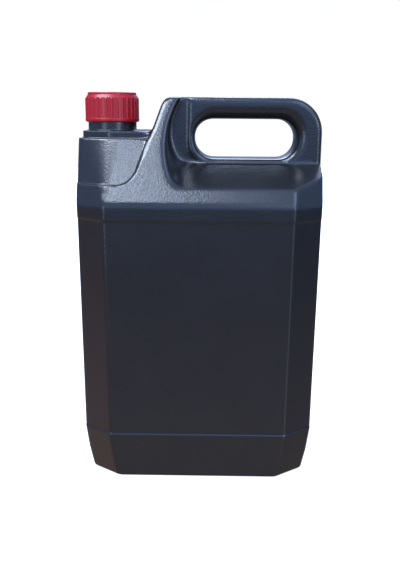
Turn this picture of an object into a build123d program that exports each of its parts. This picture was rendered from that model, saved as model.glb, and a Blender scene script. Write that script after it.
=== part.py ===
from build123d import *
import math
import os

# A five litre plastic jerrycan: a blow-moulded can with a hand grip, a screw cap and the cap's liner.
# Millimetres, +Z up, origin on the floor under the middle of the can, front face towards -Y.

# Can: plan and walls
can_width = 192.2           # across the sides, at the top of the label area
can_depth = 126.0           # front to back, at the same height
can_height = 308.5          # from the floor to the grip's top
corner_cut_x = 23.0         # cut corners, along the front
corner_cut_y = 17.0         # cut corners, along the side
corner_round = 6.0          # rounding of the eight upright edges
roof_round = 14.0           # the same at grip height, the edges of the shoulder grow softer upwards
least_round = 1.0           # least rounding, on surfaces that lie further in
side_draft = 0.45           # degrees, the can's sides narrow downwards
front_draft = 0.36          # degrees, its front and back do the same
top_draft = 1.0             # degrees, its sides widen upwards above the label area
wall = 1.3                  # moulded wall

# Can: levels, the upper ones hung from the grip's top
heel_top = 40.0
roof_height = 80.5          # from the shoulder up to the grip's top
label_gap = 12.0            # from the label area up to the shoulder
shoulder_z = can_height - roof_height
label_top = shoulder_z - label_gap

# Can: steps, roundings and the base
label_recess = 0.6          # the label area lies this deep in the front and back
label_side_recess = 0.15    # and in the sides
ledge_height = 1.0          # height of the sloped ledges above and below it
heel_side_taper = 5.8       # the heel comes in by this much at the floor, at the sides
heel_front_taper = 2.4      # and at the front and back
heel_bulge = 0.7            # half way down its sides stand out by this much from a straight taper
base_round = 3.5
base_steps = 5
base_hollow = 3.0           # height of the hollow under the base
base_hollow_edge = 11.5     # from the base's rounding in to the hollow
base_hollow_slope = 45.0    # degrees from upright, the sides of the hollow
shoulder_round = 12.0
shoulder_steps = 5
roof_half_depth = 21.0      # half depth of the shoulder's slope at grip height
roof_cut_y = 6.0            # cut corners along the side, at grip height
roof_steps = 5              # stations up the slope, whose cut corners twist a little

# Neck block, left of the slanted step that runs up the shoulder
platform_drop = 32.5        # the block's flat top lies this far below the grip's top
block_height = 34.0         # from the block's foot to its flat top
pad_height = 5.6            # raised pad that carries the neck
block_step = 2.0            # the block lies this much inside the shoulder, front and back
block_side_step = 0.2       # and at the side
pad_step = 4.2              # the pad lies this much inside the block's top, front and back
pad_side_step = 2.8         # and at the side
step_from_side = 44.3       # from the can's left side to where the step meets the block's foot
step_lean = 71.0            # degrees from the floor
step_foot_round = 17.0
step_head_round = 10.0
step_head_gap = 0.8         # the rounded head ends this far above the grip's top
platform_z = can_height - platform_drop
block_foot = platform_z - block_height
pad_top = platform_z + pad_height
step_foot_x = step_from_side - can_width / 2

# Grip
grip_half = 18.0            # half thickness
grip_from_side = 85.4       # from the can's left side to the grip's plate
grip_side_gap = 0.2         # the grip's end lies this far inside the can's side
grip_bar = 17.0             # from the hole up to the grip's top
grip_end_bar = 19.1         # from the hole to the can's right side
grip_sill = 8.3             # from the hole down to the plate's foot, inside the can
grip_corner = 27.5          # outer corner
grip_inner_corner = 20.0    # lower corner by the pillar
grip_edge = 4.0             # rounding of the grip's edges
hole_from_side = 91.3       # from the can's left side to the hole
hole_height = 31.2
palm_round = 9.0            # rounding above and right of the hole
lip_round = 3.5             # rounding below and left of it
hole_end_share = 0.48       # radius of the hole's ends, as a share of its height
hole_steps = 6              # stations of the rounded lips
hole_overrun = 0.3          # how far the hole's cut runs past the grip's faces
grip_left = grip_from_side - can_width / 2
hole_left = hole_from_side - can_width / 2
hole_right = can_width / 2 - grip_end_bar
hole_top = can_height - grip_bar
hole_bottom = hole_top - hole_height

# Hand recess, front and back
recess_drop = 20.3          # from the hole down to the front edge of the recess floor
recess_edge_in = 7.0        # from the can's front in to that edge
recess_slope = 0.44         # rise of the floor towards the grip
recess_from_side = 111.8    # from the can's left side to the centre of the round left wall
recess_wall_rise = 24.6     # that centre's height above the front edge
recess_wall_radius = 41.3
recess_wall_end = 150.0     # degrees round that centre, where the wall runs on straight
recess_corner = 12.0        # rounding between wall and floor
web_half = 16.2             # half thickness of the web between pillar and grip
recess_foot = hole_bottom - recess_drop
recess_ref_y = can_depth / 2 - recess_edge_in
recess_wall_x = recess_from_side - can_width / 2
recess_wall_z = recess_foot + recess_wall_rise

# Neck and its thread
neck_from_side = 23.8       # from the can's left side to the neck's axis
neck_height = 27.8          # from the pad to the rim
neck_bore = 15.8
collar_radius = 19.6
collar_height = 9.5
thread_root = 17.7
thread_depth = 1.2
thread_pitch = 5.0
thread_turns = 2.0
thread_foot_width = 2.4
thread_crest_width = 1.2
thread_drop = 13.6          # from the rim down to the lowest point of the thread's middle
rim_round = 0.6
thread_sink = 0.4           # how far the thread's foot reaches into its wall
neck_x = neck_from_side - can_width / 2
collar_top = pad_top + collar_height
rim_z = pad_top + neck_height
thread_start = rim_z - thread_drop

# Cap
cap_radius = 21.2           # between the ribs
cap_height = 23.4
rib_count = 30
rib_radius = 1.1
rib_out = 0.6               # the ribs stand out by this much
band_out = 0.7              # and the plain band at the foot by this much
cap_top_radius = 19.6
cap_rim_height = 1.8        # plain edge above the ribs
cap_cone_height = 3.2       # sloped upper end of the ribs
cap_band = 3.4              # plain band at the foot
cap_foot_round = 1.6        # rounding of its lower edge
cap_band_round = 0.6        # and of its upper edge
cap_edge = 0.8              # rounding of the top edge
cap_plate = 1.6             # thickness of the cap's top
thread_gap = 0.5            # radial gap between the two threads, crest to root
collar_gap = 0.4            # gap between the cap's foot and the neck's collar
liner_thick = 0.6
liner_gap = 0.3             # gap round the liner
cap_top_z = rim_z + liner_thick + cap_plate
cap_bottom = cap_top_z - cap_height

REACH = 400.0               # longer than any part of the can


def corner_cuts(inset, cut_y):
    """Plan size of the cut corners once all eight sides have moved in by inset."""
    slant = math.hypot(corner_cut_x, cut_y)
    spare = corner_cut_x + cut_y - slant
    return corner_cut_x - inset * spare / cut_y, cut_y - inset * spare / corner_cut_x


def half_width(z):
    """Half of the can's width at height z, before any step or inset."""
    draft = side_draft if z < label_top else top_draft
    return can_width / 2 + math.tan(math.radians(draft)) * (z - label_top)


def half_depth(z):
    """Half of the can's depth at height z, before any step or inset."""
    return can_depth / 2 + math.tan(math.radians(front_draft)) * (z - label_top)


def roof_share(z):
    """How far up the sloped roof the height z lies: 0 up to the shoulder, 1 at the grip's top."""
    return max(z - shoulder_z, 0) / (can_height - shoulder_z)


def cut_depth(z):
    """Depth of the cut corners at height z: even up to the shoulder, then shrinking with the roof."""
    return corner_cut_y + roof_share(z) * (roof_cut_y - corner_cut_y)


def edge_round(z):
    """Rounding of the eight upright edges at height z: even up to the shoulder, then growing."""
    return corner_round + roof_share(z) * (roof_round - corner_round)


def plan_section(z, side, front, inset):
    """Rounded eight-sided outline at height z, with side and front taken off it and moved in by inset."""
    half_x = half_width(z) - side - inset
    half_y = half_depth(z) - front - inset
    cut_x, cut_y = corner_cuts(inset, cut_depth(z))
    quarter = [(half_x, half_y - cut_y), (half_x - cut_x, half_y)]
    points = quarter + [(-x, y) for x, y in reversed(quarter)]
    points += [(-x, -y) for x, y in points]
    face = make_face(Polyline(*points, close=True))
    face = fillet(face.vertices(), max(edge_round(z) - inset, least_round))
    return Pos(0, 0, z) * face


def roof_lean():
    """Angle of the shoulder's slope from upright."""
    return math.atan2(half_depth(shoulder_z) - roof_half_depth, can_height - shoulder_z)


def heel_taper(taper, angle):
    """What the rounded foot takes off at the angle of its normal below level, for a side that tapers."""
    rise = heel_top - ledge_height
    slope = math.atan2(taper, rise)
    centre = taper * (1 - base_round / rise) + base_round / math.cos(slope)
    return centre - base_round * math.cos(angle)


def base_stations():
    """Stations of the rounded edge between the base and the tapered heel."""
    slope = math.atan2(heel_front_taper, heel_top - ledge_height)
    rows = []
    for step in range(base_steps + 1):
        angle = math.pi / 2 - (math.pi / 2 - slope) * step / base_steps
        z = base_round * (1 - math.sin(angle))
        rows.append((z, heel_taper(heel_side_taper, angle), heel_taper(heel_front_taper, angle), angle))
    return rows


def shoulder_stations():
    """Stations of the rounded edge between the upright wall and the sloped shoulder."""
    lean = roof_lean()
    tangent = shoulder_round * math.tan(lean / 2)
    rows = []
    for step in range(shoulder_steps + 1):
        angle = lean * step / shoulder_steps
        z = shoulder_z - tangent + shoulder_round * math.sin(angle)
        rows.append((z, 0.0, shoulder_round * (1 - math.cos(angle)), 0.0))
    return rows


def stations():
    """Rows of height, what is taken off the sides and the front, and how far the wall faces down."""
    rows = base_stations()
    rows.append(((heel_top - ledge_height) / 2, heel_side_taper / 2 - heel_bulge, heel_front_taper / 2, 0.0))
    rows.append((heel_top - ledge_height, 0.0, 0.0, 0.0))
    rows.append((heel_top, label_side_recess, label_recess, 0.0))
    rows.append((label_top - ledge_height, label_side_recess, label_recess, 0.0))
    rows.append((label_top, 0.0, 0.0, 0.0))
    return rows + shoulder_stations()


def column(inset):
    """The can's eight-sided body up to the grip's height, moved in by inset."""
    faces = []
    for z, side, front, tilt in stations():
        faces.append(plan_section(z + inset * math.sin(tilt), side, front, inset * math.cos(tilt)))
    return loft(faces + roof_faces(faces[-1].center().Z, 0.0, 0.0, inset)[1:], ruled=True)


def roof_section(z, side, front, inset):
    """Outline of the sloped shoulder at height z, with side and front taken off it."""
    slope_half = roof_half_depth + (can_height - z) * math.tan(roof_lean())
    return plan_section(z, side, half_depth(z) - slope_half + front, inset)


def roof_faces(start, side, front, inset):
    """Outlines up the sloped shoulder from the height start to the grip's top."""
    rise = (can_height - inset - start) / roof_steps
    return [roof_section(start + rise * n, side, front, inset) for n in range(roof_steps + 1)]


def base_recess(inset):
    """The hollow under the base, which leaves a ring to stand on."""
    foot = plan_section(0.0, heel_side_taper, heel_front_taper, base_round + base_hollow_edge - inset)
    return extrude(foot, base_hollow + inset, taper=base_hollow_slope)


def grown(outline, inset):
    """An outline moved out by inset, for a cut whose far side moves into the can."""
    return offset(outline, inset) if inset else outline


def front_face(outline, y):
    """A face drawn in X and Z, placed at that y."""
    return Plane(origin=(0, y, 0), x_dir=(1, 0, 0), z_dir=(0, -1, 0)) * outline


def through(outline):
    """A front outline run right through the can from front to back."""
    return extrude(front_face(outline, 0), REACH, both=True)


def step_outline():
    """The area left of the slanted step and above the block's foot."""
    head_z = can_height + step_head_gap
    head_x = step_foot_x + (head_z - block_foot) / math.tan(math.radians(step_lean))
    far = can_width
    points = [(-far, block_foot), (step_foot_x, block_foot), (head_x, head_z)]
    points += [(far, head_z), (far, REACH), (-far, REACH)]
    face = make_face(Polyline(*points, close=True))
    foot = face.vertices().sort_by_distance((step_foot_x, block_foot, 0))[0]
    face = fillet(foot, step_foot_round)
    head = face.vertices().sort_by_distance((head_x, head_z, 0))[0]
    return fillet(head, step_head_round)


def neck_block(inset):
    """The block left of the slanted step: the roof less its steps, up to the block's flat top."""
    roof = loft(roof_faces(shoulder_z, block_side_step, block_step, inset), ruled=True)
    zone = through(grown(step_outline(), inset))
    below = Pos(0, 0, platform_z - inset - REACH / 2) * Box(REACH, REACH, REACH)
    return roof & zone & below


def neck_pad(inset):
    """The raised pad under the neck, with upright walls."""
    foot = platform_z - pad_height
    face = roof_section(platform_z, block_side_step + pad_side_step, block_step + pad_step, inset)
    pad = extrude(Pos(0, 0, foot - platform_z) * face, pad_top - inset - foot)
    return pad & through(grown(step_outline(), inset))


def recess_outline():
    """Front outline of the hand recess, at the y where its floor starts."""
    centre = Vector(recess_wall_x, recess_wall_z)
    head = centre + Vector(recess_wall_radius, 0).rotate(Axis.Z, recess_wall_end)
    side = centre - Vector(recess_wall_radius, 0)
    drop = recess_wall_z - recess_foot
    foot = Vector(recess_wall_x - math.sqrt(recess_wall_radius ** 2 - drop ** 2), recess_foot)
    rise = REACH - head.Y
    run = rise * math.tan(math.radians(180 - recess_wall_end))
    far = can_width + REACH
    lines = ThreePointArc(head, side, foot)
    lines += Polyline(foot, (far, recess_foot), (far, REACH), (head.X + run, REACH), head)
    face = make_face(lines)
    corner = face.vertices().sort_by_distance(foot)[0]
    return fillet(corner, recess_corner)


def hand_recess(inset):
    """The recess in front: its outline carried back and up along the slope of its floor."""
    start = can_depth
    run = start - (web_half - inset)
    drop = recess_slope * (start - recess_ref_y)
    face = Pos(0, 0, -drop) * front_face(grown(recess_outline(), inset), -start)
    front = extrude(face, run * math.hypot(1, recess_slope), dir=Vector(0, 1, recess_slope).normalized())
    return front + mirror(front, Plane.XZ)


def grip_outline(inset):
    """Front outline of the grip without its hole."""
    right = half_width(can_height) - grip_side_gap - inset
    left = grip_left + inset
    top = can_height - inset
    bottom = hole_bottom - grip_sill + inset
    face = make_face(Polyline((left, bottom), (right, bottom), (right, top), (left, top), close=True))
    face = fillet(face.vertices().sort_by_distance((right, top, 0))[0], grip_corner - inset)
    return fillet(face.vertices().sort_by_distance((left, bottom, 0))[0], grip_inner_corner - inset)


def grip(inset):
    """The grip's rounded plate."""
    half = grip_half - inset
    plate = extrude(front_face(grip_outline(inset), 0), half, both=True)
    edges = plate.edges().filter_by(lambda e: abs(abs(e.center().Y) - half) < 0.01)
    return fillet(edges, grip_edge - inset / 2)


def grip_seat(inset):
    """Clears the middle of the can above the recess floor, right of the plate's lower corner."""
    floor_z = recess_foot + recess_slope * (recess_ref_y - web_half) - inset
    left = grip_left + grip_inner_corner - inset
    size = REACH
    return Pos(left + size / 2, 0, floor_z + size / 2) * Box(size, 2 * (web_half + inset), size)


def lip(radius, y):
    """How far a lip of that radius has opened at the depth y."""
    start = grip_half - radius
    if y <= start:
        return 0.0
    if y >= grip_half:
        return radius + y - grip_half
    return radius - math.sqrt(radius ** 2 - (y - start) ** 2)


def hole_section(y, inset):
    """The hole's outline at the depth y from the middle."""
    palm = lip(palm_round, abs(y)) + inset
    low = lip(lip_round, abs(y)) + inset
    width = hole_right - hole_left + palm + low
    height = hole_top - hole_bottom + palm + low
    middle = Pos((hole_left - low + hole_right + palm) / 2, (hole_bottom - low + hole_top + palm) / 2)
    return front_face(middle * RectangleRounded(width, height, hole_end_share * height), y)


def grip_hole(inset):
    """The hole for the hand, with wide rounded lips."""
    turn = math.pi / 2 / hole_steps
    depths = [0.0]
    depths += [grip_half - palm_round * (1 - math.sin(turn * n)) for n in range(hole_steps)]
    depths += [grip_half, grip_half + hole_overrun]
    front = [-depth for depth in reversed(depths)]
    return loft([hole_section(y, inset) for y in front + depths[1:]], ruled=True)


def can_form(inset):
    """The whole can as a solid, moved in by inset, without the neck."""
    solid = column(inset) - base_recess(inset)
    solid -= through(grown(step_outline(), inset))
    solid += neck_block(inset)
    solid += neck_pad(inset)
    solid -= hand_recess(inset)
    solid -= grip_seat(inset)
    solid += grip(inset)
    solid -= grip_hole(inset)
    return solid


def thread_ridge(root, crest, start):
    """A helical ridge from the radius root to the radius crest, beginning at height start."""
    path = Helix(thread_pitch, thread_pitch * thread_turns, root)
    way = 1 if crest > root else -1
    foot = -way * thread_sink
    tip = crest - root
    profile = make_face(Polyline((foot, -thread_foot_width / 2), (tip, -thread_crest_width / 2),
                                 (tip, thread_crest_width / 2), (foot, thread_foot_width / 2), close=True))
    at = Plane(origin=path @ 0, x_dir=(1, 0, 0), z_dir=path % 0)
    ridge = sweep(at * profile, path=path, is_frenet=True)
    return Pos(neck_x, 0, start) * ridge


def neck():
    """Collar, threaded neck and rim, with the bore still closed."""
    foot = pad_top - wall
    collar = Pos(neck_x, 0, (foot + collar_top) / 2) * Cylinder(collar_radius, collar_top - foot)
    tube = Pos(neck_x, 0, (foot + rim_z) / 2) * Cylinder(thread_root, rim_z - foot)
    tube = fillet(tube.edges().group_by(Axis.Z)[-1], rim_round)
    return collar + tube + thread_ridge(thread_root, thread_root + thread_depth, thread_start)


def can_body():
    """The moulded can: outer form and neck, less the hollow and the neck's bore."""
    bore_foot = platform_z - wall
    bore = Pos(neck_x, 0, bore_foot + REACH / 2) * Cylinder(neck_bore, REACH)
    return can_form(0.0) + neck() - can_form(wall) - bore


def turned(points):
    """A solid turned about Z from a half outline of radius and height."""
    return revolve(Plane.XZ * make_face(Polyline(*points, close=True)), Axis.Z)


def cap_shell():
    """Outside of the cap: plain rim, ribs with sloped upper ends and a plain band at the foot."""
    full = cap_radius + rib_out
    slope_top = cap_top_z - cap_rim_height
    rib = Pos(full - rib_radius, 0) * Circle(rib_radius)
    plan = Circle(cap_radius) + [Rot(0, 0, 360 / rib_count * n) * rib for n in range(rib_count)]
    rib_foot = cap_bottom + cap_foot_round
    ribbed = extrude(Pos(0, 0, rib_foot) * plan, slope_top - rib_foot)
    reach = full + rib_radius
    envelope = turned([(0, cap_bottom), (reach, cap_bottom), (reach, slope_top - cap_cone_height),
                       (full, slope_top - cap_cone_height), (cap_top_radius, slope_top), (0, slope_top)])
    rim = Pos(0, 0, cap_top_z - cap_plate) * Cylinder(cap_top_radius, 2 * cap_plate)
    rim = fillet(rim.edges().group_by(Axis.Z)[-1], cap_edge)
    band = Pos(0, 0, cap_bottom + cap_band / 2) * Cylinder(cap_radius + band_out, cap_band)
    band = fillet(band.edges().group_by(Axis.Z)[0], cap_foot_round)
    band = fillet(band.edges().group_by(Axis.Z)[-1], cap_band_round)
    return Pos(neck_x, 0, 0) * ((ribbed & envelope) + rim + band)


def cap_thread_root():
    """Radius of the cap's hollow, outside the neck's thread."""
    return thread_root + thread_depth + thread_gap


def screw_cap():
    """The cap with its hollow, the wider foot that clears the neck's collar and the inside thread."""
    under = cap_top_z - cap_plate
    hollow = Pos(neck_x, 0, (cap_bottom + under) / 2) * Cylinder(cap_thread_root(), under - cap_bottom)
    foot_radius = collar_radius + collar_gap
    foot_top = collar_top + collar_gap
    foot = Pos(neck_x, 0, (cap_bottom + foot_top) / 2) * Cylinder(foot_radius, foot_top - cap_bottom)
    ridge = thread_ridge(cap_thread_root(), thread_root + thread_gap, thread_start - thread_pitch / 2)
    return cap_shell() - hollow - foot + ridge


def cap_liner():
    """The sealing disc between the cap's top and the neck's rim."""
    radius = cap_thread_root() - liner_gap
    return Pos(neck_x, 0, rim_z + liner_thick / 2) * Cylinder(radius, liner_thick)


os.makedirs("parts", exist_ok=True)
export_step(can_body(), "parts/can_body.step")
export_step(screw_cap(), "parts/screw_cap.step")
export_step(cap_liner(), "parts/cap_liner.step")
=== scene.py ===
import bmesh
import bpy
import math
import numpy as np
from mathutils import Matrix, Vector
from mathutils.bvhtree import BVHTree


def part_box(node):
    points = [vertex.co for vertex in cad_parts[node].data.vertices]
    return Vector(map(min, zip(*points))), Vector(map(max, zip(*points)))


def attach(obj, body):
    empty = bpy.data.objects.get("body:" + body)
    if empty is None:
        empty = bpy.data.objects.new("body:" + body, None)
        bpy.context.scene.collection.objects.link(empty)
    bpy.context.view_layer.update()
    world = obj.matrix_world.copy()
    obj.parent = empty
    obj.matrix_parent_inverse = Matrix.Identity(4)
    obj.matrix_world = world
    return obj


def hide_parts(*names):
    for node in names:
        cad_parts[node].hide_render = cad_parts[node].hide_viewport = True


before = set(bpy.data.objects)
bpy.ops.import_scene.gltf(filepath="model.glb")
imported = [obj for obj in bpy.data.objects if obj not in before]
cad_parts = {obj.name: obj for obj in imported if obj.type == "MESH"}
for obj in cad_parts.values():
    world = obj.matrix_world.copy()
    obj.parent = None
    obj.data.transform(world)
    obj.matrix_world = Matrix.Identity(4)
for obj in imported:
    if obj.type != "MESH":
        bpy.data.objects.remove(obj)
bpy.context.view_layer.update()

MM = 0.001
FRONT, BACK = -1, 1                # sides of the can along y

# Neck, read from the frame: the cap turns about the neck's axis and the liner lies on its rim
cap_low, cap_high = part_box("screw_cap")
rim_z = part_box("cap_liner")[0].z
neck_x = (cap_low.x + cap_high.x) / 2
collar_radius = 19.6 * MM
bore_radius = 15.8 * MM
neck_floor = 270 * MM              # everything of the neck lies above this
seam_z = cap_low.z + 1.0 * MM      # where the soft can meets the crisp neck, under the cap's foot
seam_lap = 0.6 * MM
mouth_rise = 5 * MM                # how far past the rim the inside is cut out
hair = 0.05 * MM
weld = 0.001 * MM                  # points closer than this are one
ray_start = 200 * MM               # well outside the can's walls

# Soft skin of the blow-moulded can: cells of the remade mesh, rounds of smoothing for each place
# and how much a point moves in a round
skin_voxel = 0.5 * MM
skin_rounds = 4
roof_rounds = 40
web_rounds = 90
edge_rounds = 16
give = 0.5
skin_triangles = 180000
sharp_angle = math.radians(35)

# The slanted step on the shoulder: left of it the neck block keeps crisp edges, right of it all is soft
step_foot = (-51.8 * MM, 242 * MM)
step_lean = math.radians(71)
step_foot_round = 17 * MM
step_reach = step_foot_round / math.tan((math.pi - step_lean) / 2)
platform_z = 276 * MM
roof_foot = 231 * MM
roof_fade = (roof_foot, roof_foot + 8 * MM)

# Where the smoothing of each place comes in, and where it goes out again
edge_in = (-0.15 * MM, 0.35 * MM)
edge_out = (2.5 * MM, 4 * MM)
edge_fade = (roof_foot + 4 * MM, roof_foot + 8 * MM)
pillar_in = (3 * MM, 7 * MM)
pillar_top_in = (-6 * MM, -3 * MM)
pillar_top_fade = (platform_z + 2 * MM, platform_z + 8 * MM)
web_left, web_right = -46 * MM, -13 * MM
web_edge = 5 * MM
web_in = (web_left, web_left + web_edge)
web_out = (web_right - web_edge, web_right)
side_edge = 86 * MM
side_out = (side_edge, side_edge + 8 * MM)
side_hold = 0.8                    # the can's right side keeps most of its outline

# The block's left corners: where the wall is read, in steps of corner_grid, how widely it is evened
# at the lowest and the highest place, and where that fades: within the wall, at its ends and at its foot
corner_x = (-90 * MM, -63.5 * MM)
corner_z = (roof_foot, 275 * MM)
corner_grid = 0.5 * MM
corner_spread = (1.5 * MM, 6.5 * MM)
corner_top = platform_z + 0.3 * MM
corner_wall = (1 * MM, 4 * MM)
corner_left_fade = 5 * MM
corner_right_fade = 2 * MM
corner_foot_fade = 6 * MM
short_of_end = 1.001               # keeps a place in a table just before its last row and column

# The crease left of the step, cut by a thin round bar
crease_half = 0.8 * MM             # half the bar's width
crease_out = 0.1 * MM              # how far its middle lies outside the face
crease_left = -0.6 * MM            # and off the step's foot, along x
crease_fade = (-70 * MM, -56 * MM)
crease_rise = 1 * MM               # it starts this far above the platform
crease_run = 14 * MM               # and runs this far on to the left, past the bend
crease_pace = 1 * MM
crease_parts = 24
crease_sides = 10

# The studio round the can: colour of the air by degrees up, as shares of air_level
air_level = 3.0
air = (
    (-40, (0.115, 0.095, 0.085)),
    (-28, (0.125, 0.103, 0.103)),
    (-20, (0.090, 0.080, 0.095)),
    (-12, (0.046, 0.042, 0.056)),
    (-8, (0.038, 0.043, 0.076)),
    (-1, (0.140, 0.225, 0.420)),
    (6, (0.145, 0.220, 0.410)),
    (30, (0.140, 0.210, 0.390)),
    (50, (0.190, 0.280, 0.520)),
    (80, (0.280, 0.400, 0.720)),
)
back_share = 0.12                  # of the air above the floor, towards the back

# Soft lights in it: degrees round from the front (to the right is +), degrees up, tightness and colour
lobes = (
    # high in front and to the left
    (-13, 49, 330, (15.0, 17.1, 20.9)),
    (-8, 49, 330, (6.0, 6.9, 8.5)),
    (-26, 68, 200, (22.0, 25.0, 30.0)),
    (-40, 57, 200, (26.0, 30.0, 35.0)),
    (-58, 56, 150, (26.0, 30.0, 35.0)),
    (-80, 50, 150, (24.0, 27.0, 32.0)),
    # to the right, from high to low
    (42, 42, 40, (3.0, 3.8, 6.0)),
    (20, 26, 60, (2.2, 2.8, 4.2)),
    (36, 8, 80, (4.5, 5.4, 6.6)),
    (38, -10, 60, (0.6, 0.7, 0.75)),
    (38, -28, 60, (0.6, 0.7, 0.7)),
    # a wide one in front and a level one to the left
    (0, 18, 18, (0.35, 0.55, 1.10)),
    (-32, 0, 80, (2.6, 3.6, 4.2)),
    # behind
    (180, 36, 25, (5.4, 6.8, 9.8)),
    # from below
    (-85, -32, 12, (0.32, 0.14, 0.08)),
    (-4, -34, 10, (0.13, 0.11, 0.10)),
)


def neck_distance(co):
    return math.hypot(co.x - neck_x, co.y)


def new_object(name, data):
    ob = bpy.data.objects.new(name, data)
    bpy.context.scene.collection.objects.link(ob)
    return ob


def mesh_of(bm, name):
    bmesh.ops.recalc_face_normals(bm, faces=bm.faces[:])
    mesh = bpy.data.meshes.new(name)
    bm.to_mesh(mesh)
    bm.free()
    return mesh


def split_can():
    """The can's CAD mesh as two: its outer skin and its inside, parted at the inner edge of the rim."""
    bm = bmesh.new()
    bm.from_mesh(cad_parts["can_body"].data)
    bmesh.ops.remove_doubles(bm, verts=bm.verts[:], dist=weld)
    rim = {f for f in bm.faces if f.calc_center_median().z > rim_z - hair
           and neck_distance(f.calc_center_median()) < collar_radius}
    inside = {f for f in bm.faces if f not in rim
              and all(abs(neck_distance(v.co) - bore_radius) < hair for v in f.verts)}
    todo = list(inside)
    while todo:
        for edge in todo.pop().edges:
            for other in edge.link_faces:
                if other not in inside and other not in rim:
                    inside.add(other)
                    todo.append(other)
    bm.faces.index_update()
    numbers = {f.index for f in inside}
    inner = bm.copy()
    bmesh.ops.delete(inner, geom=[f for f in inner.faces if f.index not in numbers], context="FACES")
    bmesh.ops.delete(bm, geom=list(inside), context="FACES")
    return bm, inner


def close(bm):
    bmesh.ops.holes_fill(bm, edges=[e for e in bm.edges if e.is_boundary])


def neck_faces(bm):
    return [f for f in bm.faces if all(v.co.z > neck_floor and neck_distance(v.co) < collar_radius + hair
                                       for v in f.verts)]


def cut_neck(bm, height, above):
    """Cuts the neck's faces at a height and takes away what lies above it, or below it."""
    faces = neck_faces(bm)
    parts = set(faces) | {e for f in faces for e in f.edges} | {v for f in faces for v in f.verts}
    bmesh.ops.bisect_plane(bm, geom=list(parts), plane_co=(0, 0, height), plane_no=(0, 0, 1),
                           clear_outer=above, clear_inner=not above)


def evaluated(ob, name):
    """The object's mesh with its modifiers applied."""
    ob.update_tag()
    bpy.context.view_layer.update()
    graph = bpy.context.evaluated_depsgraph_get()
    mesh = bpy.data.meshes.new_from_object(ob.evaluated_get(graph), depsgraph=graph)
    mesh.name = name
    return mesh


def triangles(mesh):
    mesh.calc_loop_triangles()
    return len(mesh.loop_triangles)


def tree_of(mesh):
    return BVHTree.FromPolygons([v.co for v in mesh.vertices], [p.vertices for p in mesh.polygons])


def wall_hit(tree, x, z, side):
    """Where a level ray from outside meets the front or the back wall."""
    return tree.ray_cast(Vector((x, side * ray_start, z)), Vector((0, -side, 0)))[0]


def blend(value, low, high):
    """0 below low, 1 above high and a smooth way between."""
    share = np.clip((value - low) / (high - low), 0, 1)
    return share * share * (3 - 2 * share)


def step_offset(x, z):
    """Distance from the step's foot line: + on the pillar's and the shoulder's side, - on the block's."""
    foot_x, foot_z = step_foot
    slanted = (x - foot_x) * math.sin(step_lean) - (z - foot_z) * math.cos(step_lean)
    below = foot_z - z
    run, rise = x - (foot_x - step_reach), z - (foot_z + step_foot_round)
    turn = np.arctan2(rise, run)
    bend = (turn > -math.pi / 2) & (turn < step_lean - math.pi / 2)
    return np.where(bend, np.hypot(run, rise) - step_foot_round, np.maximum(slanted, below))


def edge_softness(x, z):
    """How much each point of the step's outer edge gives way in a round; the crease beside it stays."""
    off = step_offset(x, z)
    return give * blend(off, *edge_in) * (1 - blend(off, *edge_out)) * blend(z, *edge_fade)


def web_softness(x, z):
    """The same for the hollow between the pillar and the grip, which is rounded most."""
    return give * blend(x, *web_in) * (1 - blend(x, *web_out)) * blend(z, *roof_fade)


def roof_softness(x, z):
    """The same for the pillar, the recess and the grip."""
    foot_x, foot_z = step_foot
    off = x - (foot_x + (z - foot_z) / math.tan(step_lean))
    beside = blend(off, *pillar_in)
    above = blend(off, *pillar_top_in) * blend(z, *pillar_top_fade)
    roof = blend(z, *roof_fade) * (1 - side_hold * blend(x, *side_out))
    return give * roof * np.maximum(beside, above)


def evened(row, spread):
    """A row of depths evened out along x; past its ends the wall goes on straight."""
    reach = int(3 * spread / corner_grid) + 1
    ticks = np.arange(-reach, reach + 1) * corner_grid
    share = np.exp(-0.5 * (ticks / spread) ** 2)
    left = 2 * row[0] - row[reach:0:-1]
    right = np.full(reach, row[-1])
    return np.convolve(np.concatenate((left, row, right)), share / share.sum(), "valid")


def looked_up(table, across, up):
    """Values between the places of a table, at these places in its columns and rows."""
    rows, columns = table.shape
    row = np.clip(up, 0, rows - short_of_end)
    column = np.clip(across, 0, columns - short_of_end)
    i, j = row.astype(int), column.astype(int)
    s, t = row - i, column - j
    low = table[i, j] * (1 - t) + table[i, j + 1] * t
    high = table[i + 1, j] * (1 - t) + table[i + 1, j + 1] * t
    return low * (1 - s) + high * s


def round_corners(co):
    """Rounds the left corners of the block and of the shoulder below it, in plan and on both sides."""
    tree = tree_of(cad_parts["can_body"].data)
    xs = np.arange(*corner_x, corner_grid)
    zs = np.arange(*corner_z, corner_grid)
    spreads = np.interp(zs, corner_z, corner_spread)
    x, y, z = co.T
    near = (x > xs[0]) & (x < xs[-1]) & (z > zs[0]) & (z < corner_top)
    for side in (FRONT, BACK):
        depth = np.array([[wall_hit(tree, a, b, side).y for a in xs] for b in zs])
        shift = np.array([evened(row, spread) for row, spread in zip(depth, spreads)]) - depth
        part = np.flatnonzero(near & (side * y > 0))
        px, pz = x[part], z[part]
        across, up = (px - xs[0]) / corner_grid, (pz - zs[0]) / corner_grid
        inside = side * (looked_up(depth, across, up) - y[part])
        ends = blend(px, xs[0], xs[0] + corner_left_fade)
        ends *= 1 - blend(px, xs[-1] - corner_right_fade, xs[-1])
        fade = (1 - blend(inside, *corner_wall)) * ends * blend(pz, zs[0], zs[0] + corner_foot_fade)
        co[part, 1] += fade * looked_up(shift, across, up)


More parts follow.
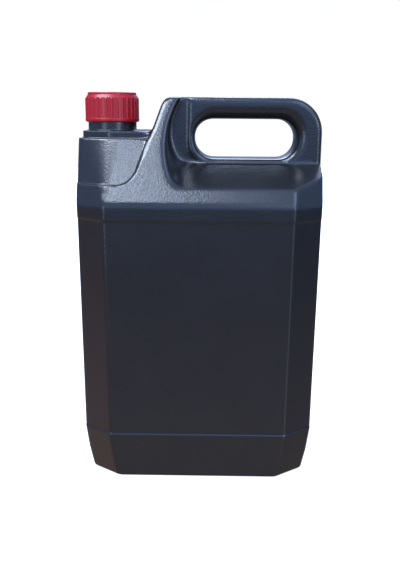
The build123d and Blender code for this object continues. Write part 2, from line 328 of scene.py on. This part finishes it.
def relax(co, edges, weight, rounds):
    """Moves each point towards the middle of its neighbours, round after round."""
    a, b = edges[:, 0], edges[:, 1]
    count = len(co)
    degree = np.bincount(a, minlength=count) + np.bincount(b, minlength=count)
    for _ in range(rounds):
        for k in range(3):
            row = co[:, k]
            total = np.bincount(a, row[b], count) + np.bincount(b, row[a], count)
            co[:, k] += weight * (total / np.maximum(degree, 1) - row) * (degree > 0)


def relax_part(co, edges, softness, rounds):
    """The same for a part of the mesh only, where the softness isn't nothing."""
    weight = softness(co[:, 0], co[:, 2])
    near = (weight > 0)[edges].any(axis=1)
    points = np.unique(edges[near])
    place = np.full(len(co), -1)
    place[points] = np.arange(len(points))
    part = co[points].copy()
    relax(part, place[edges[near]], weight[points], rounds)
    co[points] = part


def soften(mesh):
    """A closed mesh remade in small even cells, its edges rounded by smoothing, then thinned out."""
    ob = new_object("soft_source", mesh)
    remesh = ob.modifiers.new("remesh", "REMESH")
    remesh.mode = "VOXEL"
    remesh.voxel_size = skin_voxel
    made = evaluated(ob, "soft")
    co = np.empty(len(made.vertices) * 3, dtype=np.float32)
    made.vertices.foreach_get("co", co)
    co = co.reshape(-1, 3).astype(float)
    edges = np.empty(len(made.edges) * 2, dtype=np.int32)
    made.edges.foreach_get("vertices", edges)
    edges = edges.reshape(-1, 2)
    round_corners(co)
    relax_part(co, edges, edge_softness, edge_rounds)
    relax_part(co, edges, web_softness, web_rounds)
    relax_part(co, edges, roof_softness, roof_rounds)
    relax(co, edges, give, skin_rounds)
    made.vertices.foreach_set("co", co.astype(np.float32).ravel())
    made.update()
    ob.modifiers.clear()
    ob.data = made
    thin = ob.modifiers.new("thin", "DECIMATE")
    thin.ratio = min(1.0, skin_triangles / triangles(made))
    made = evaluated(ob, "soft_thin")
    bpy.data.objects.remove(ob)
    return made


def step_line():
    """The foot of the slanted step as points (x, z): down from the platform, round the bend and left."""
    lean = Vector((math.cos(step_lean), math.sin(step_lean)))
    corner = Vector(step_foot)
    top = corner + lean * ((platform_z + crease_rise - corner.y) / lean.y)
    bend = corner + lean * step_reach
    middle = corner + Vector((-step_reach, step_foot_round))
    points = [top.lerp(bend, k / crease_parts) for k in range(crease_parts)]
    for k in range(crease_parts + 1):
        turn = step_lean * (1 - k / crease_parts) - math.pi / 2
        points.append(middle + Vector((math.cos(turn), math.sin(turn))) * step_foot_round)
    last = points[-1]
    for k in range(round(crease_run / crease_pace)):
        points.append(last - Vector((crease_pace * (k + 1), 0)))
    return points


def crease(skin, side):
    """A thin round bar laid along the step's foot on the front or the back."""
    tree = tree_of(skin)
    middle = []
    for x, z in step_line():
        hit = wall_hit(tree, x + crease_left, z, side)
        if hit:
            fade = 1 - blend(x, *crease_fade)
            middle.append(hit + Vector((0, side * (crease_out + crease_half * fade), 0)))
    bm = bmesh.new()
    rings = []
    turns = [2 * math.pi * n / crease_sides for n in range(crease_sides)]
    for k, place in enumerate(middle):
        along = (middle[min(k + 1, len(middle) - 1)] - middle[max(k - 1, 0)]).normalized()
        across = along.cross(Vector((0, 1, 0))).normalized()
        out = across.cross(along)
        rings.append([bm.verts.new(place + (across * math.cos(t) + out * math.sin(t)) * crease_half)
                      for t in turns])
    for a, b in zip(rings[:-1], rings[1:]):
        for n in range(crease_sides):
            after = (n + 1) % crease_sides
            bm.faces.new((a[n], a[after], b[after], b[n]))
    bm.faces.new(rings[0])
    bm.faces.new(rings[-1])
    return mesh_of(bm, "crease")


def joined(mesh, name, steps):
    """The mesh after a row of unions and differences with other closed meshes."""
    ob = new_object("joined_source", mesh)
    tools = []
    for how, other in steps:
        tool = new_object("tool", other)
        tools.append(tool)
        step = ob.modifiers.new("join", "BOOLEAN")
        step.operation = how
        step.object = tool
        step.solver = "MANIFOLD"
    made = evaluated(ob, name)
    for each in [ob, *tools]:
        bpy.data.objects.remove(each)
    return made


def build_can():
    """The can's soft skin with the crisp neck on it, hollowed by the CAD's own inside."""
    outer, inner = split_can()
    neck = outer.copy()
    cut_neck(outer, seam_z, True)
    close(outer)
    crisp = set(neck_faces(neck))
    bmesh.ops.delete(neck, geom=[f for f in neck.faces if f not in crisp], context="FACES")
    cut_neck(neck, seam_z - seam_lap, False)
    close(neck)
    rim_edges = [e for e in inner.edges if e.is_boundary]
    raised = bmesh.ops.extrude_edge_only(inner, edges=rim_edges)["geom"]
    bmesh.ops.translate(inner, verts=[g for g in raised if isinstance(g, bmesh.types.BMVert)],
                        vec=(0, 0, mouth_rise))
    close(inner)
    skin = soften(mesh_of(outer, "outer"))
    steps = [("UNION", mesh_of(neck, "neck")), ("DIFFERENCE", mesh_of(inner, "inner")),
             ("DIFFERENCE", crease(skin, FRONT)), ("DIFFERENCE", crease(skin, BACK))]
    mesh = joined(skin, "can_skin", steps)
    mesh.shade_smooth()
    mesh.set_sharp_from_angle(angle=sharp_angle)
    return new_object("can_skin", mesh)


def feed(tree, socket, value):
    """Links a socket to another one, or sets it to a plain value."""
    if isinstance(value, bpy.types.NodeSocket):
        tree.links.new(value, socket)
    else:
        socket.default_value = value


def fill(tree, made, **named):
    """Feeds a node's sockets by name, with _ for a space."""
    for name, value in named.items():
        feed(tree, made.inputs[name.replace("_", " ")], value)


def node(tree, kind, *terms, how=None, **named):
    """A new node; its terms are fed to its first sockets in order, the others by name."""
    made = tree.nodes.new(kind)
    if how:
        made.operation = how
    for socket, term in zip(made.inputs, terms):
        feed(tree, socket, term)
    fill(tree, made, **named)
    return made


def principled(name):
    mat = bpy.data.materials.new(name)
    mat.use_nodes = True
    tree = mat.node_tree
    return mat, tree, tree.nodes["Principled BSDF"]


def noise(tree, **named):
    """A noise in the object's own coordinates."""
    where = node(tree, "ShaderNodeTexCoord").outputs["Object"]
    return node(tree, "ShaderNodeTexNoise", Vector=where, **named).outputs["Fac"]


def tone(tree, share, low, high):
    """A colour between two."""
    ramp = node(tree, "ShaderNodeValToRGB", Fac=share)
    for stop, colour in zip(ramp.color_ramp.elements, (low, high)):
        stop.color = (*colour, 1)
    return ramp.outputs["Color"]


def between(tree, share, low, high):
    """A value between two, spread over the middle of a noise, where most of it lies."""
    spread = node(tree, "ShaderNodeMapRange", share, From_Min=0.3, From_Max=0.7, To_Min=low, To_Max=high)
    return spread.outputs["Result"]


def can_plastic():
    """Near-black polyethylene with a fine moulded grain."""
    mat, tree, shader = principled("can_polyethylene")
    cloud = noise(tree, Scale=28.0, Detail=4.0, Roughness=0.6)
    grain = noise(tree, Scale=750.0, Detail=1.5, Roughness=0.5)
    bump = node(tree, "ShaderNodeBump", Strength=0.28, Distance=0.4 * MM, Height=grain)
    fill(tree, shader, IOR=1.5, Normal=bump.outputs["Normal"],
         Base_Color=tone(tree, cloud, (0.009, 0.009, 0.0095), (0.012, 0.012, 0.0125)),
         Roughness=between(tree, cloud, 0.16, 0.21))
    return mat


def cap_plastic():
    """Red polypropylene, a little uneven in colour and gloss."""
    mat, tree, shader = principled("cap_polypropylene")
    cloud = noise(tree, Scale=60.0, Detail=3.0, Roughness=0.6)
    fill(tree, shader, Specular_IOR_Level=0.38,
         Base_Color=tone(tree, cloud, (0.30, 0.0035, 0.007), (0.35, 0.005, 0.009)),
         Roughness=between(tree, cloud, 0.28, 0.36))
    return mat


def liner_foam():
    """Off-white sealing foam with fine cells."""
    mat, tree, shader = principled("liner_foam")
    cells = noise(tree, Scale=900.0, Detail=2.0)
    fill(tree, shader, Roughness=0.7, Base_Color=tone(tree, cells, (0.74, 0.74, 0.71), (0.86, 0.86, 0.84)))
    return mat


def dress(ob, mat):
    ob.data.materials.clear()
    ob.data.materials.append(mat)


def build_camera():
    """The camera fitted to the photograph: its place, its turn in degrees and its focal length in pixels."""
    place = Vector((7.73, -599.99, 300.57)) * MM
    pitch, roll, yaw = (math.radians(a) for a in (14.0, 0.46, -0.69))
    focal, rows = 713.81, 570
    data = bpy.data.cameras.new("camera")
    data.sensor_fit = "VERTICAL"
    data.sensor_height = 36
    data.lens = focal * data.sensor_height / rows
    data.clip_start, data.clip_end = 0.01, 50
    forward = Vector((math.sin(yaw) * math.cos(pitch), math.cos(yaw) * math.cos(pitch), -math.sin(pitch)))
    level = Vector((math.cos(yaw), -math.sin(yaw), 0))
    upright = level.cross(forward)
    right = level * math.cos(roll) + upright * math.sin(roll)
    up = upright * math.cos(roll) - level * math.sin(roll)
    turn = Matrix((right, up, -forward)).transposed().to_4x4()
    turn.translation = place
    ob = new_object("camera", data)
    ob.matrix_world = turn
    bpy.context.scene.camera = ob


def build_floor():
    """A plain white floor, which neither shines on the part nor shows in its gloss."""
    size = 6.0
    bm = bmesh.new()
    bmesh.ops.create_grid(bm, x_segments=8, y_segments=8, size=size / 2)
    floor = new_object("floor", mesh_of(bm, "floor"))
    mat, tree, shader = principled("floor_white")
    fill(tree, shader, Base_Color=(0.45, 0.45, 0.45, 1), Roughness=0.9,
         Emission_Color=(1, 1, 1, 1), Emission_Strength=0.86)
    dress(floor, mat)
    floor.visible_glossy = False
    floor.visible_diffuse = False


def lobe(tree, where, around, up, tight, colour):
    """One soft light in the sky: brightest in its own direction and fading evenly away from it."""
    around, up = math.radians(around), math.radians(up)
    aim = (math.sin(around) * math.cos(up), -math.cos(around) * math.cos(up), math.sin(up))
    along = node(tree, "ShaderNodeVectorMath", where, aim, how="DOT_PRODUCT")
    away = node(tree, "ShaderNodeMath", along.outputs["Value"], tight, -tight, how="MULTIPLY_ADD")
    fade = node(tree, "ShaderNodeMath", away.outputs[0], how="EXPONENT")
    return node(tree, "ShaderNodeVectorMath", colour, how="SCALE", Scale=fade.outputs[0]).outputs[0]


def air_colour(tree, where):
    """The even light of the studio: it changes with height, and above the floor it dims towards the back."""
    split = node(tree, "ShaderNodeSeparateXYZ", where)
    backward, upward = split.outputs["Y"], split.outputs["Z"]
    height = node(tree, "ShaderNodeMapRange", upward, From_Min=-1.0, From_Max=1.0)
    ramp = node(tree, "ShaderNodeValToRGB", height.outputs["Result"])
    stops = ramp.color_ramp.elements
    while len(stops) < len(air):
        stops.new(0.5)
    for stop, (up, colour) in zip(stops, air):
        stop.position = (math.sin(math.radians(up)) + 1) / 2
        stop.color = (*colour, 1)
    front = node(tree, "ShaderNodeMapRange", backward, From_Min=0.9, From_Max=-0.3, To_Min=back_share)
    low = node(tree, "ShaderNodeMapRange", upward, From_Min=0.0, From_Max=-0.2)
    share = node(tree, "ShaderNodeMath", front.outputs["Result"], low.outputs["Result"], how="MAXIMUM")
    strength = node(tree, "ShaderNodeMath", share.outputs[0], air_level, how="MULTIPLY")
    lit = node(tree, "ShaderNodeVectorMath", ramp.outputs["Color"], how="SCALE", Scale=strength.outputs[0])
    return lit.outputs[0]


def build_world():
    """The studio's air and its soft lights; the camera itself sees plain white."""
    world = bpy.data.worlds.new("studio")
    world.use_nodes = True
    tree = world.node_tree
    where = node(tree, "ShaderNodeTexCoord").outputs["Generated"]
    total = air_colour(tree, where)
    for light in lobes:
        total = node(tree, "ShaderNodeVectorMath", total, lobe(tree, where, *light), how="ADD").outputs[0]
    seen = node(tree, "ShaderNodeLightPath").outputs["Is Camera Ray"]
    mix = tree.nodes.new("ShaderNodeMix")
    mix.data_type = "RGBA"
    feed(tree, mix.inputs["Factor"], seen)
    feed(tree, mix.inputs[6], total)
    feed(tree, mix.inputs[7], (1, 1, 1, 1))
    feed(tree, tree.nodes["Background"].inputs["Color"], mix.outputs[2])
    bpy.context.scene.world = world


can = build_can()
dress(can, can_plastic())
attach(can, "can")
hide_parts("can_body")
dress(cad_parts["screw_cap"], cap_plastic())
dress(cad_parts["cap_liner"], liner_foam())

build_camera()
build_floor()
build_world()
bpy.context.scene.view_settings.view_transform = "Standard"
